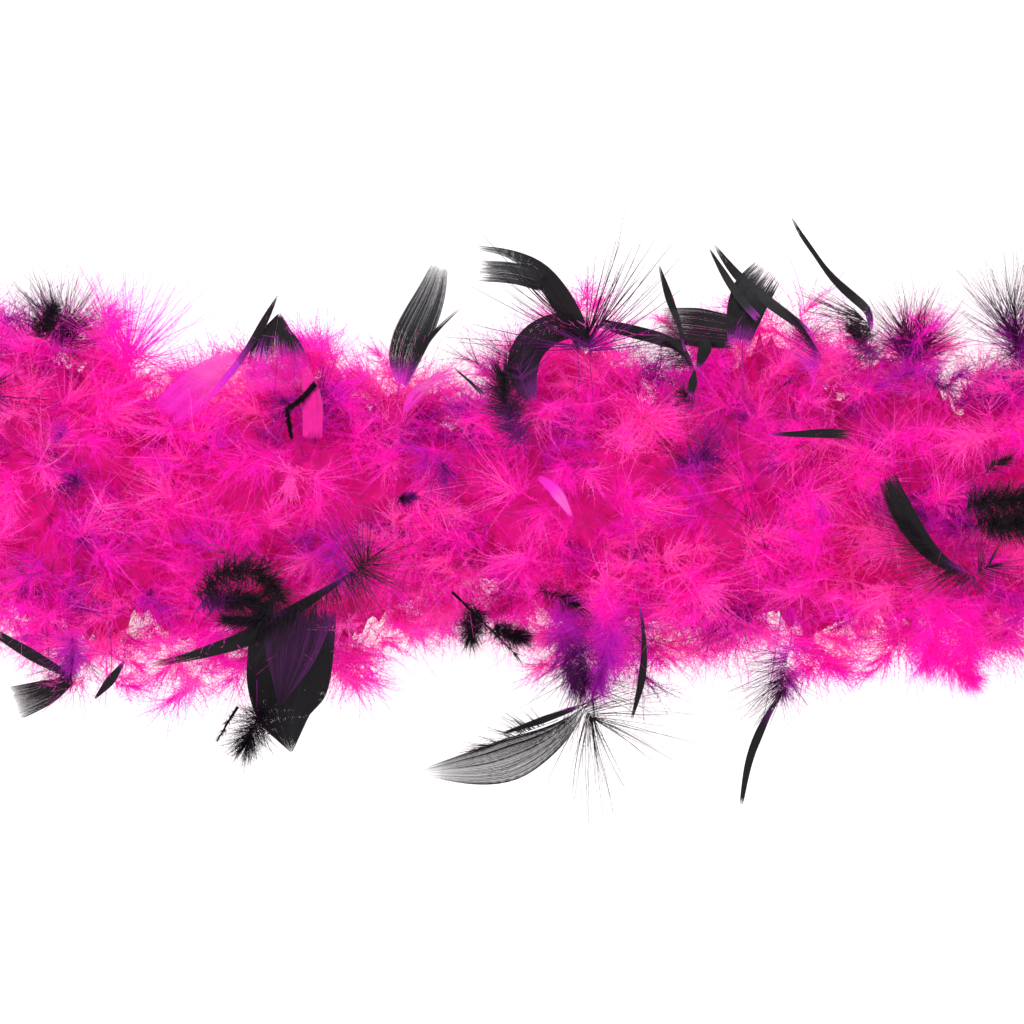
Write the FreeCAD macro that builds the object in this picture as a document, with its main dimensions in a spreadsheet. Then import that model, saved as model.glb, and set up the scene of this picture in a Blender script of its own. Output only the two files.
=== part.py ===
import FreeCAD, Part
import Sketcher
import math
import os

from FreeCAD import Placement, Rotation, Vector

# A two-yard chandelle feather boa: a limp core cord with feathers bound to it all the way.
# X runs along the straight stretch, Z is up, and the boa lies on the plane Z = 0.
# The far part of the boa is put away as a round coil of two layers.

document = FreeCAD.newDocument("feather_boa")
sheet = document.addObject("Spreadsheet::Sheet", "dimensions")

DIMENSIONS = {
    "boa_length": 1830,  # from knot to knot along the core cord
    "cord_diameter": 3,
    "cord_height": 28.5,  # the core cord above the surface that the boa lies on
    "down_radius": 30,  # the packed down round the cord
    "down_gap": 1,  # between one clump of down and the next
    "end_rounding": 9,
    "bore_radius": 3.2,  # the way through each clump for the cord and its binding
    "left_end": -290,
    "coil_start": 455,
    "coil_radius": 100,
    "coil_rise": 66,  # from the lower layer of the coil to the upper one
    "wrap_radius": 2.5,
    "wrap_clearance": 0.2,
    "wrap_width": 5,
    "knot_radius": 5,
    "whipping_length": 12,
    "whipping_radius": 2.4,
    "bare_end": 22,  # bare cord between an end clump and its knot
    "quill_radius": 0.8,
    "quill_clearance": 0.5,
    "quill_start": 3.9,  # distance of a quill's butt from the middle of the cord
    "vane_thickness": 0.5,
}
for row, (alias, value) in enumerate(DIMENSIONS.items(), start=1):
    sheet.set(f"A{row}", alias)
    sheet.set(f"B{row}", str(value))
    sheet.setAlias(f"B{row}", alias)

# The straight stretch's clumps of down: where each one ends, from left to right.
STRAIGHT_CLUMPS = (-268, -157, -24, 63, 145, 199, 287)
for number, end in enumerate(STRAIGHT_CLUMPS):
    row = len(DIMENSIONS) + 1 + number
    sheet.set(f"A{row}", f"clump_end_{number}")
    sheet.set(f"B{row}", str(end))
    sheet.setAlias(f"B{row}", f"clump_end_{number}")
document.recompute()


def size(alias):
    return float(sheet.get(alias))


def put(name, shape, placement=None):
    """A sub-part whose shape Part's own functions make from the sheet's sizes."""
    feature = document.addObject("Part::Feature", name)
    feature.Label = name
    feature.Shape = shape
    if placement is not None:
        feature.Placement = placement
    return feature


# ---------------------------------------------------------------- the cord's route

CORD_HEIGHT = size("cord_height")
COIL_RADIUS = size("coil_radius")
COIL_CENTRE = Vector(size("coil_start"), COIL_RADIUS, 0)
POINTS_PER_TURN = 14
STEP = 2 * math.pi / POINTS_PER_TURN
RISE_START, RISE_END = 0.6, 0.94  # in turns: where the coil climbs to its upper layer
ROUTE_TURNS = 2


def coil_height(turns):
    share = min(max((turns - RISE_START) / (RISE_END - RISE_START), 0), 1)
    return CORD_HEIGHT + size("coil_rise") * (1 - math.cos(math.pi * share)) / 2


def coil_point(index):
    """Corners of a polygon round the coil, so that its sides touch the coil's circle."""
    turns = (index + 0.5) / POINTS_PER_TURN
    angle = 2 * math.pi * turns - math.pi / 2
    corner = COIL_RADIUS / math.cos(STEP / 2)
    return COIL_CENTRE + Vector(
        corner * math.cos(angle), corner * math.sin(angle), coil_height(turns)
    )


route = [Vector(size("left_end"), 0, CORD_HEIGHT)]
route += [coil_point(index) for index in range(ROUTE_TURNS * POINTS_PER_TURN)]


def rounded_edges(points):
    """Straight runs joined by tangent arcs, each arc as large as its two runs allow."""
    edges, radii, start = [], [], points[0]
    for before, corner, after in zip(points, points[1:], points[2:]):
        back, ahead = before - corner, after - corner
        shorter = min(back.Length, ahead.Length)
        back.normalize()
        ahead.normalize()
        half_turn = (math.pi - back.getAngle(ahead)) / 2
        cut = 0.45 * shorter
        radius = cut / math.tan(half_turn)
        radii.append(radius)
        bisector = (back + ahead).normalize()
        middle = corner + bisector * (radius / math.cos(half_turn) - radius)
        enter, leave = corner + back * cut, corner + ahead * cut
        edges.append(Part.LineSegment(start, enter).toShape())
        edges.append(Part.Arc(enter, middle, leave).toShape())
        start = leave
    edges.append(Part.LineSegment(start, points[-1]).toShape())
    return edges, radii


route_edges, bend_radii = rounded_edges(route)
print("bend radii of the cord:", ", ".join(f"{radius:.0f}" for radius in bend_radii))


def stretch(begin, end):
    """The part of the route between two distances from its left end."""
    kept, travelled = [], 0
    for edge in route_edges:
        low = max(begin - travelled, 0)
        high = min(end - travelled, edge.Length)
        if high - low > 0.01:
            first, last = (edge.getParameterByLength(reach) for reach in (low, high))
            kept.append(edge.Curve.toShape(first, last))
        travelled += edge.Length
    return Part.Wire(kept)


def swept(begin, end, radius):
    """A round tube of that radius along one stretch of the route."""
    path = stretch(begin, end)
    first = path.OrderedEdges[0]
    start = first.valueAt(first.FirstParameter)
    circle = Part.Circle(start, first.tangentAt(first.FirstParameter), radius)
    section = Part.Wire([circle.toShape()])
    tube = path.makePipeShell([section], True, True)
    expected = math.pi * radius**2 * (end - begin)
    if abs(tube.Volume - expected) > 0.01 * expected:
        raise RuntimeError(f"a tube of {end - begin:.0f} mm has the wrong volume")
    return tube


BOA_LENGTH = size("boa_length")
core_cord = put("core_cord", swept(0, BOA_LENGTH, size("cord_diameter") / 2))


def along(distance):
    """The point and the direction of the cord at a distance from its left end."""
    for edge in route_edges:
        if distance <= edge.Length:
            parameter = edge.getParameterByLength(distance)
            return edge.valueAt(parameter), edge.tangentAt(parameter)
        distance -= edge.Length
    raise RuntimeError("the route is shorter than that")


# ---------------------------------------------------------------- knots, whippings, binding


def turned_to(direction):
    return Rotation(Vector(0, 0, 1), direction)


def knot(name, distance, outward):
    """An overhand knot pulled tight on the end of the cord, as a ball with the cord in it."""
    point, direction = along(distance)
    ball = Part.makeSphere(size("knot_radius"))
    hole_radius = size("cord_diameter") / 2 + size("wrap_clearance")
    hole = Part.makeCylinder(
        hole_radius, size("knot_radius"), Vector(0, 0, 0), Vector(0, 0, -1)
    )
    put(name, ball.cut(hole), Placement(point, turned_to(direction * outward)))


def sleeve(distance, width, radius):
    """A tight winding of thread round the cord."""
    point, direction = along(distance)
    outer = Part.makeCylinder(radius, width)
    inner = Part.makeCylinder(size("cord_diameter") / 2 + size("wrap_clearance"), width)
    ring = outer.cut(inner)
    ring.Placement = Placement(point - direction * (width / 2), turned_to(direction))
    return ring


knot("left_end_knot", 0, -1)
knot("right_end_knot", BOA_LENGTH, 1)
WHIPPING_PLACE = size("knot_radius") + size("whipping_length") / 2 + 1
for name, distance in (
    ("left_end_whipping", WHIPPING_PLACE),
    ("right_end_whipping", BOA_LENGTH - WHIPPING_PLACE),
):
    put(name, sleeve(distance, size("whipping_length"), size("whipping_radius")))

# ---------------------------------------------------------------- feathers

# One row for each feather that stands out of the down. Root, middle and tip are places along X
# and distances from the cord in the feather's own plane. Lift turns that plane up from the
# floor's, in degrees, and a negative distance is a feather on the near side of the boa.
FEATHERS = {
    # name: (root_x, (middle_x, middle_y), (tip_x, tip_y), vane width, vane start, lift)
    "grey_down_plume_left": (-206, (-203, 48), (-196, 98), 30, 0.42, 14),
    "pink_down_plume_left": (-176, (-170, 46), (-168, 92), 34, 0.45, 24),
    "pink_flat_feather_left": (-166, (-143, 42), (-104, 86), 12, 0.44, 8),
    "black_corner_feather": (-112, (-108, 42), (-101, 84), 26, 0.42, 19),
    "curled_black_feather": (-90, (-94, 36), (-87, 64), 9, 0.55, 50),
    "tall_charcoal_feather": (-58, (-50, 50), (-32, 99), 17, 0.42, 9),
    "pink_fan_cut_feather": (-51, (-42, 40), (-22, 60), 9, 0.62, 29),
    "high_black_arc_feather": (24, (32, 70), (-15, 106), 13, 0.45, 5),
    "low_black_arc_feather": (-4, (1, 54), (30, 84), 14, 0.5, 22),
    "grey_down_plume_middle": (39, (44, 52), (52, 92), 32, 0.45, 15),
    "rolled_black_feather": (90, (76, 60), (38, 76), 7, 0.5, 12),
    "thin_black_blade_upper": (77, (75, 52), (65, 100), 5, 0.5, 20),
    "grey_square_feather": (99, (95, 58), (70, 84), 9, 0.6, 28),
    "frayed_black_feather": (106, (101, 52), (108, 98), 17, 0.45, 6),
    "shouldered_black_feather": (127, (133, 58), (92, 108), 7, 0.4, 16),
    "black_blade_on_top": (110, (122, 44), (146, 58), 6, 0.7, 57),
    "tall_black_spike_feather": (154, (155, 66), (122, 122), 6, 0.4, 8),
    "grey_down_plume_right": (172, (174, 50), (178, 94), 32, 0.45, 17),
    "grey_down_plume_far_right": (216, (221, 48), (224, 96), 32, 0.45, 10),
    "grey_vane_lower_left": (-226, (-204, -56), (-217, -96), 13, 0.6, 6),
    "short_black_blade_lower_left": (-190, (-172, -50), (-182, -92), 6, 0.5, 14),
    "long_black_feather_lower": (-64, (-90, -50), (-154, -78), 8, 0.42, 9),
    "big_black_flat_feather": (-84, (-82, -56), (-108, -108), 30, 0.42, 20),
    "black_down_tail_lower": (-120, (-118, -60), (-112, -118), 24, 0.42, 32),
    "small_black_down_feather": (-32, (-22, -44), (4, -74), 10, 0.5, 12),
    "dark_down_clump_lower": (27, (28, -52), (31, -98), 34, 0.42, 15),
    "big_grey_arc_feather": (40, (38, -88), (-38, -122), 14, 0.5, 4),
    "long_black_blade_lower": (51, (58, -60), (52, -100), 5, 0.42, 24),
    "hanging_black_sprig": (122, (118, -80), (100, -136), 8, 0.4, 7),
    "pink_down_clump_lower": (188, (192, -46), (192, -90), 34, 0.45, 11),
    "broad_black_feather_on_top": (209, (193, -52), (166, -62), 12, 0.55, 52),
}
# The coil's feathers: distance along the boa, reach from the cord and lift off the floor.
COIL_FEATHERS = {
    "coil_black_feather_front": (760, 104, 4),
    "coil_black_feather_right": (950, 106, 8),
    "coil_black_feather_rear_right": (1090, 110, 6),
    "coil_black_feather_rear": (1190, 108, 3),
    "coil_black_feather_upper_front": (1490, 98, 42),
    "coil_black_feather_upper_rear": (1665, 100, 50),
}
COIL_FEATHER_WIDTH = 15
COIL_FEATHER_BEND = 12
COIL_VANE_START = 0.45
LEFT_END = size("left_end")
QUILL_IN_VANE = 0.2  # the share of the spine where the quill runs on inside the vane


def vane_and_quill(root, middle, tip, width, vane_start):
    """A feather in the XY plane on a spine through three points. Returns it and its quill."""
    root, middle, tip = (Vector(x, y, 0) for x, y in (root, middle, tip))
    spine = Part.Arc(root, middle, tip).toShape()
    low, high = spine.FirstParameter, spine.LastParameter
    base = spine.valueAt(low + vane_start * (high - low))
    centre_at = low + (0.5 + vane_start / 2) * (high - low)
    centre, heading = spine.valueAt(centre_at), spine.tangentAt(centre_at)
    side = Vector(-heading.y, heading.x, 0) * (width / 2)
    outline = Part.Wire(
        [
            Part.Arc(base, centre + side, tip).toShape(),
            Part.Arc(tip, centre - side, base).toShape(),
        ]
    )
    thickness = size("vane_thickness")
    vane = Part.Face(outline).extrude(Vector(0, 0, thickness))
    vane.translate(Vector(0, 0, -thickness / 2))
    butt = spine.getParameterByLength(size("quill_start"))
    quill_end = low + (vane_start + QUILL_IN_VANE) * (high - low)
    return vane, spine.Curve.toShape(butt, quill_end)


def tube(path, radius):
    start = path.valueAt(path.FirstParameter)
    circle = Part.Circle(start, path.tangentAt(path.FirstParameter), radius)
    return Part.Wire([path]).makePipeShell([Part.Wire([circle.toShape()])], True, True)


channels = []


def feather(name, place, root, middle, tip, width, vane_start):
    """One feather: a thin vane fused to its quill, with a wider channel for it in the down."""
    vane, quill = vane_and_quill(root, middle, tip, width, vane_start)
    body = vane.fuse(tube(quill, size("quill_radius")))
    put(name, body, place)
    clearance = size("quill_clearance")
    channel = tube(quill, size("quill_radius") + clearance)
    slot = vane.makeOffsetShape(clearance, 0.01)
    for shape in (channel, slot):
        shape.Placement = place.multiply(shape.Placement)
        channels.append(shape)


cord_line = Vector(0, 0, CORD_HEIGHT)
for name, (root_x, middle, tip, width, vane_start, lift) in FEATHERS.items():
    raised = lift if tip[1] > 0 else -lift
    place = Placement(cord_line, Rotation(Vector(1, 0, 0), raised))
    feather(name, place, (root_x, 0), middle, tip, width, vane_start)

for name, (distance, reach, lift) in COIL_FEATHERS.items():
    point, direction = along(distance)
    outward = Vector(direction.y, -direction.x, 0).normalize()
    heading = math.degrees(math.atan2(outward.y, outward.x)) - 90
    turn = Rotation(Vector(0, 0, 1), heading).multiply(
        Rotation(Vector(1, 0, 0), lift)
    )
    bent = (COIL_FEATHER_BEND, reach / 2)
    place = Placement(point, turn)
    feather(name, place, (0, 0), bent, (0, reach), COIL_FEATHER_WIDTH, COIL_VANE_START)

# ---------------------------------------------------------------- binding thread

# The thread is wound round the cord at each feather's quill.
straight_places = sorted(row[0] - LEFT_END for row in FEATHERS.values())
coil_places = [row[0] for row in COIL_FEATHERS.values()]


def spaced(places, least):
    kept = []
    for place in sorted(places):
        if not kept or place - kept[-1] >= least:
            kept.append(place)
    return kept


for name, places in (
    ("binding_thread_straight", straight_places),
    ("binding_thread_coil", coil_places),
):
    rings = [
        sleeve(place, size("wrap_width"), size("wrap_radius"))
        for place in spaced(places, size("wrap_width") + 1)
    ]
    put(name, Part.makeCompound(rings))

# ---------------------------------------------------------------- clumps of down


def add_line(sketch, start, end):
    return sketch.addGeometry(Part.LineSegment(Vector(*start, 0), Vector(*end, 0)))


def barrel(number):
    """A clump of the straight stretch: a revolved sketch with rounded ends and a bore."""
    name = f"down_clump_{number:02}"
    body = document.addObject("PartDesign::Body", f"{name}_body")
    planes = {item.Role: item for item in body.Origin.OriginFeatures}
    sketch = body.newObject("Sketcher::SketchObject", f"{name}_profile")
    sketch.AttachmentSupport = [(planes["XY_Plane"], "")]
    sketch.MapMode = "FlatFace"
    length = STRAIGHT_CLUMPS[number] - STRAIGHT_CLUMPS[number - 1] - size("down_gap")
    bore, radius, round_off = size("bore_radius"), size("down_radius"), size("end_rounding")
    corners = [
        (0, bore),
        (0, radius - round_off),
        (round_off, radius),
        (length - round_off, radius),
        (length, radius - round_off),
        (length, bore),
    ]
    lines = [
        add_line(sketch, start, end)
        for start, end in zip(corners, corners[1:] + corners[:1])
    ]
    for line, following in zip(lines, lines[1:] + lines[:1]):
        sketch.addConstraint(Sketcher.Constraint("Coincident", line, 2, following, 1))
    left, rise, top, fall, right, bottom = lines
    for line in (left, right):
        sketch.addConstraint(Sketcher.Constraint("Vertical", line))
    for line in (top, bottom):
        sketch.addConstraint(Sketcher.Constraint("Horizontal", line))
    below = f"dimensions.clump_end_{number - 1}"
    above = f"dimensions.clump_end_{number}"
    driven = [
        ("DistanceX", (-1, 1, left, 1), 0.0, None),
        ("DistanceY", (-1, 1, left, 1), bore, "dimensions.bore_radius"),
        ("DistanceY", (-1, 1, top, 1), radius, "dimensions.down_radius"),
        ("DistanceX", (top, 1, top, 2), length - 2 * round_off,
         f"{above} - {below} - dimensions.down_gap - 2 * dimensions.end_rounding"),
        ("DistanceX", (rise, 1, rise, 2), round_off, "dimensions.end_rounding"),
        ("DistanceY", (rise, 1, rise, 2), round_off, "dimensions.end_rounding"),
        ("DistanceX", (fall, 1, fall, 2), round_off, "dimensions.end_rounding"),
        ("DistanceY", (fall, 2, fall, 1), round_off, "dimensions.end_rounding"),
    ]
    for kind, ends, value, expression in driven:
        index = sketch.addConstraint(Sketcher.Constraint(kind, *ends, value))
        if expression:
            sketch.setExpression(f"Constraints[{index}]", expression)
    turned = body.newObject("PartDesign::Revolution", f"{name}_revolution")
    turned.Profile = sketch
    turned.ReferenceAxis = (sketch, ["H_Axis"])
    turned.Angle = 360
    body.Tip = turned
    body.setExpression("Placement.Base.x", f"{below} + dimensions.down_gap / 2")
    body.setExpression("Placement.Base.z", "dimensions.cord_height")
    return name, body


def trimmed(name, shape):
    """A clump of down, flat where it lies on the floor and open where feathers pass."""
    box = shape.BoundBox
    room = Part.makeBox(
        box.XLength + 20, box.YLength + 20, box.ZMax + 10, Vector(box.XMin - 10, box.YMin - 10, 0)
    )
    above = shape.common(room) if box.ZMin < 0 else shape
    near = [channel for channel in channels if channel.BoundBox.intersect(box)]
    clump = above.cut(near)
    if len(clump.Solids) != 1:
        raise RuntimeError(f"{name} is in {len(clump.Solids)} pieces")
    put(name, clump)


for number in range(1, len(STRAIGHT_CLUMPS)):
    name, body = barrel(number)
    document.recompute()
    trimmed(name, body.Shape)

COIL_CLUMPS = 10
coil_from = STRAIGHT_CLUMPS[-1] - LEFT_END
coil_to = BOA_LENGTH - size("bare_end")
for index in range(COIL_CLUMPS):
    name = f"down_clump_{len(STRAIGHT_CLUMPS) + index:02}"
    pitch = (coil_to - coil_from) / COIL_CLUMPS
    begin = coil_from + index * pitch + size("down_gap") / 2
    end = begin + pitch - size("down_gap")
    solid = swept(begin, end, size("down_radius"))
    bore = swept(begin - 5, end + 5, size("bore_radius"))
    trimmed(name, solid.cut(bore))

# ---------------------------------------------------------------- check and write

document.recompute()
sub_parts = [item for item in document.Objects if item.TypeId == "Part::Feature"]
for item in document.Objects:
    if "Invalid" in item.State or "Error" in item.State:
        raise RuntimeError(f"{item.Name} is {item.State}")
for item in sub_parts:
    if item.Shape.isNull() or not item.Shape.isValid() or not item.Shape.Solids:
        raise RuntimeError(f"{item.Label} has no valid solid")

os.makedirs("parts", exist_ok=True)
for item in sub_parts:
    item.Shape.exportStep(f"parts/{item.Label}.step")
litres = sum(item.Shape.Volume for item in sub_parts) / 1e6
print(f"{len(sub_parts)} sub-parts written, {litres:.2f} litres")
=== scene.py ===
"""Looks of a feather boa: pink down and black-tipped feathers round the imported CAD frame."""

import math

import bpy
import numpy as np
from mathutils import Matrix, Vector


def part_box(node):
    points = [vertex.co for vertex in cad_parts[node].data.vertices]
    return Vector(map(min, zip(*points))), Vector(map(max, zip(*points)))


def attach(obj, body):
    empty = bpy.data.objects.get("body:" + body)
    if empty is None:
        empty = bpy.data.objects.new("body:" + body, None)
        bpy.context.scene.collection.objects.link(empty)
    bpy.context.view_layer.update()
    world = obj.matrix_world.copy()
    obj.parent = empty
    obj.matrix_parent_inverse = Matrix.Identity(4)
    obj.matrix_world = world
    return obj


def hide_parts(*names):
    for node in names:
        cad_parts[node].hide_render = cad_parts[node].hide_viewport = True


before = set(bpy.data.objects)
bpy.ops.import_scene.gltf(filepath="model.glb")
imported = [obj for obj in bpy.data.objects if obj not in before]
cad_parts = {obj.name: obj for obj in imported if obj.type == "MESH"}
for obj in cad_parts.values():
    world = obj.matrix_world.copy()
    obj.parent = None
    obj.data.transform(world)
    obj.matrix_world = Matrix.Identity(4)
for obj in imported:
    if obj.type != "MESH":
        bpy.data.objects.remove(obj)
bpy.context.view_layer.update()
rng = np.random.default_rng(11)
MM = 0.001


def new_object(name, data):
    """A new object in the scene."""
    made = bpy.data.objects.new(name, data)
    bpy.context.scene.collection.objects.link(made)
    return made


def unit(vectors):
    return vectors / (np.linalg.norm(vectors, axis=-1, keepdims=True) + 1e-12)


def read_off(at, places, rows):
    """Rows of three numbers, known at places, read off at others."""
    return np.stack([np.interp(at, places, rows[:, axis]) for axis in range(3)], -1)


def set_inputs(node, values):
    for name, value in values.items():
        node.inputs[name].default_value = value


def wire(links, *pairs):
    for source, output, target, value in pairs:
        links.new(source.outputs[output], target.inputs[value])


# ------------------------------------------------------------------ camera

VIEW_WIDTH = 0.45  # what the camera sees across, at the height of the core cord
CAMERA_HEIGHT = 3.0
CAMERA_Y = -0.0075
SENSOR = 36.0

camera_data = bpy.data.cameras.new("camera")
camera_data.sensor_width = SENSOR
camera = new_object("camera", camera_data)
bpy.context.scene.camera = camera


def middle(node):
    low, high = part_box(node)
    return (low + high) / 2


LEFT_KNOT, RIGHT_KNOT = middle("left_end_knot"), middle("right_end_knot")
CORD_HEIGHT = LEFT_KNOT.z
camera_data.lens = SENSOR * (CAMERA_HEIGHT - CORD_HEIGHT) / VIEW_WIDTH
camera.location = (0, CAMERA_Y, CAMERA_HEIGHT)

# ------------------------------------------------------------------ the core cord

CORD_DIAMETER = 0.003
COIL_START = 0.455
COIL_RADIUS = 0.1
COIL_RISE = 0.066
POINTS_PER_TURN = 14
RISE_START, RISE_END = 0.6, 0.94


def coil_point(index):
    """Corners of a polygon round the coil, so that its sides touch the coil's circle."""
    turns = (index + 0.5) / POINTS_PER_TURN
    angle = 2 * math.pi * turns - math.pi / 2
    corner = COIL_RADIUS / math.cos(math.pi / POINTS_PER_TURN)
    share = min(max((turns - RISE_START) / (RISE_END - RISE_START), 0), 1)
    rise = COIL_RISE * (1 - math.cos(math.pi * share)) / 2
    return Vector(
        (
            COIL_START + corner * math.cos(angle),
            COIL_RADIUS + corner * math.sin(angle),
            CORD_HEIGHT + rise,
        )
    )


COIL_POINTS = 24
corners = [coil_point(index) for index in range(COIL_POINTS)]
LEAD_IN = (corners[1] - corners[0]).length
lead_in = Vector((corners[0].x - LEAD_IN, 0, CORD_HEIGHT))
route = [LEFT_KNOT.copy(), lead_in, *corners, RIGHT_KNOT.copy()]


def spline_curve(name, points, diameter):
    """A round cord. Its thickness is in its points, because a curve's box counts them."""
    curve = bpy.data.curves.new(name, "CURVE")
    curve.dimensions = "3D"
    curve.resolution_u = 12
    curve.bevel_depth = 1
    curve.bevel_resolution = 3
    curve.use_fill_caps = True
    spline = curve.splines.new("NURBS")
    spline.points.add(len(points) - 1)
    for spot, point in zip(spline.points, points):
        spot.co = (*point, 1)
        spot.radius = diameter / 2
    spline.order_u = 3
    spline.use_endpoint_u = True
    return new_object(name, curve)


def points_of(piece):
    """The points of a curve's own line, read with no bevel."""
    bevel, piece.data.bevel_depth = piece.data.bevel_depth, 0
    bpy.context.view_layer.update()
    line = bpy.data.meshes.new_from_object(piece)
    found = np.array([vertex.co for vertex in line.vertices], float)
    bpy.data.meshes.remove(line)
    piece.data.bevel_depth = bevel
    return found


cord = spline_curve("core_cord_line", route, CORD_DIAMETER)
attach(cord, "root")
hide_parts("core_cord")
cord_line = points_of(cord)
cord_steps = np.linalg.norm(np.diff(cord_line, axis=0), axis=1)
cord_reach = np.concatenate([[0], np.cumsum(cord_steps)])
LAID_LENGTH = cord_reach[-1]


def along_cord(distances):
    """Points on the cord at distances along it, and there the way ahead, across and up."""
    distances = np.asarray(distances, float)
    step = 2 * MM
    spots = read_off(distances, cord_reach, cord_line)
    start = read_off(distances - step, cord_reach, cord_line)
    ahead = unit(read_off(distances + step, cord_reach, cord_line) - start)
    across = unit(np.cross((0, 0, 1), ahead))
    return spots, ahead, across, unit(np.cross(ahead, across))


# ------------------------------------------------------------------ materials

# Places along the ramp of feather colours. CRIMSON is painted shade for the hollows in the packed
# down, and also one pink vane's own colour.
PALE, PINK, VIOLET, PURPLE, BLACK, GREY, CRIMSON = 0.0, 0.17, 0.33, 0.5, 0.68, 0.84, 1.0
RAMP = (
    (PALE, (1.0, 0.13, 0.62)),
    (PINK, (0.97, 0.012, 0.62)),
    (VIOLET, (0.62, 0.015, 0.6)),
    (PURPLE, (0.18, 0.008, 0.2)),
    (BLACK, (0.008, 0.006, 0.009)),
    (GREY, (0.06, 0.062, 0.068)),
    (CRIMSON, (0.86, 0.006, 0.34)),
)
STREAK_SCALE = 260
DARK_STREAK, LIGHT_STREAK = 0.8, 1.3  # what a streak multiplies the colour by


def feather_material(name, translucency, sheen, roughness, painted_shade_factor):
    """Keratin fibres: a colour from the tint attribute, lighter and darker in streaks.

    translucency is the share of light that goes through them. The last argument scales the colour:
    painted shade, set lower where more light falls on the fibres.
    """
    material = bpy.data.materials.new(name)
    material.use_nodes = True
    tree = material.node_tree
    nodes = tree.nodes
    surface = nodes["Principled BSDF"]
    tint = nodes.new("ShaderNodeAttribute")
    tint.attribute_name = "tint"
    ramp = nodes.new("ShaderNodeValToRGB")
    ramp.color_ramp.interpolation = "EASE"
    stops = ramp.color_ramp.elements
    for index, (share, colour) in enumerate(RAMP):
        stop = stops[index] if index < 2 else stops.new(share)
        stop.position = share
        stop.color = (*colour, 1)
    place = nodes.new("ShaderNodeTexCoord")
    streaks = nodes.new("ShaderNodeTexNoise")
    set_inputs(streaks, {"Scale": STREAK_SCALE, "Detail": 3})
    spread = nodes.new("ShaderNodeMapRange")
    darkest, lightest = DARK_STREAK * painted_shade_factor, LIGHT_STREAK * painted_shade_factor
    set_inputs(spread, {"To Min": darkest, "To Max": lightest})
    shaded = nodes.new("ShaderNodeVectorMath")
    shaded.operation = "SCALE"
    rough = nodes.new("ShaderNodeMapRange")
    set_inputs(rough, {"To Min": roughness - 0.1, "To Max": roughness + 0.1})
    set_inputs(surface, {"Sheen Weight": sheen, "Sheen Roughness": 0.4})
    set_inputs(surface, {"Specular IOR Level": 0.16})
    through = nodes.new("ShaderNodeBsdfTranslucent")
    mix = nodes.new("ShaderNodeMixShader")
    set_inputs(mix, {"Fac": translucency})
    wire(
        tree.links,
        (tint, "Fac", ramp, "Fac"),
        (place, "Object", streaks, "Vector"),
        (streaks, "Fac", spread, "Value"),
        (streaks, "Fac", rough, "Value"),
        (ramp, "Color", shaded, 0),
        (spread, "Result", shaded, "Scale"),
        (shaded, "Vector", surface, "Base Color"),
        (rough, "Result", surface, "Roughness"),
        (shaded, "Vector", through, "Color"),
        (surface, "BSDF", mix, 1),
        (through, "BSDF", mix, 2),
        (mix, "Shader", nodes["Material Output"], "Surface"),
    )
    return material


down_material = feather_material("down", 0.5, 0.0, 0.7, 1.0)
# Painted shade: the vanes' colours are 0.72 of the down's, because more light falls on flat vanes.
vane_material = feather_material("vane", 0.15, 0.05, 0.45, 0.72)


def thread_material(name, colour, twist_scale):
    """Twisted thread: painted shade darkens it between its strands, with a bump that follows the
    twist.
    """
    material = bpy.data.materials.new(name)
    material.use_nodes = True
    nodes = material.node_tree.nodes
    surface = nodes["Principled BSDF"]
    place = nodes.new("ShaderNodeTexCoord")
    twist = nodes.new("ShaderNodeTexWave")
    twist.bands_direction = "DIAGONAL"
    set_inputs(twist, {"Scale": twist_scale, "Distortion": 1.5})
    ramp = nodes.new("ShaderNodeValToRGB")
    # Painted shade: 0.4 of the colour in the grooves between strands.
    ramp.color_ramp.elements[0].color = (*(0.4 * part for part in colour), 1)
    ramp.color_ramp.elements[1].color = (*colour, 1)
    bump = nodes.new("ShaderNodeBump")
    set_inputs(bump, {"Strength": 0.6, "Distance": 0.0004})
    wire(
        material.node_tree.links,
        (place, "Object", twist, "Vector"),
        (twist, "Fac", ramp, "Fac"),
        (twist, "Fac", bump, "Height"),
        (ramp, "Color", surface, "Base Color"),
        (bump, "Normal", surface, "Normal"),
    )
    set_inputs(surface, {"Roughness": 0.8, "Sheen Weight": 0.3})
    return material


cord_material = thread_material("cotton_cord", (0.55, 0.02, 0.25), 500)
binding_material = thread_material("binding", (0.35, 0.01, 0.16), 1400)
cord.data.materials.append(cord_material)

for name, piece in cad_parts.items():
    if name.endswith(("_knot", "_whipping")) or name.startswith("binding_thread"):
        piece.data.materials.clear()
        knot = name.endswith("_knot")
        piece.data.materials.append(cord_material if knot else binding_material)

# ------------------------------------------------------------------ fibres

LOWEST = 0.6 * MM  # no fibre goes nearer to the floor than this


def random_directions(number):
    return unit(rng.normal(size=(number, 3)))


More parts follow.
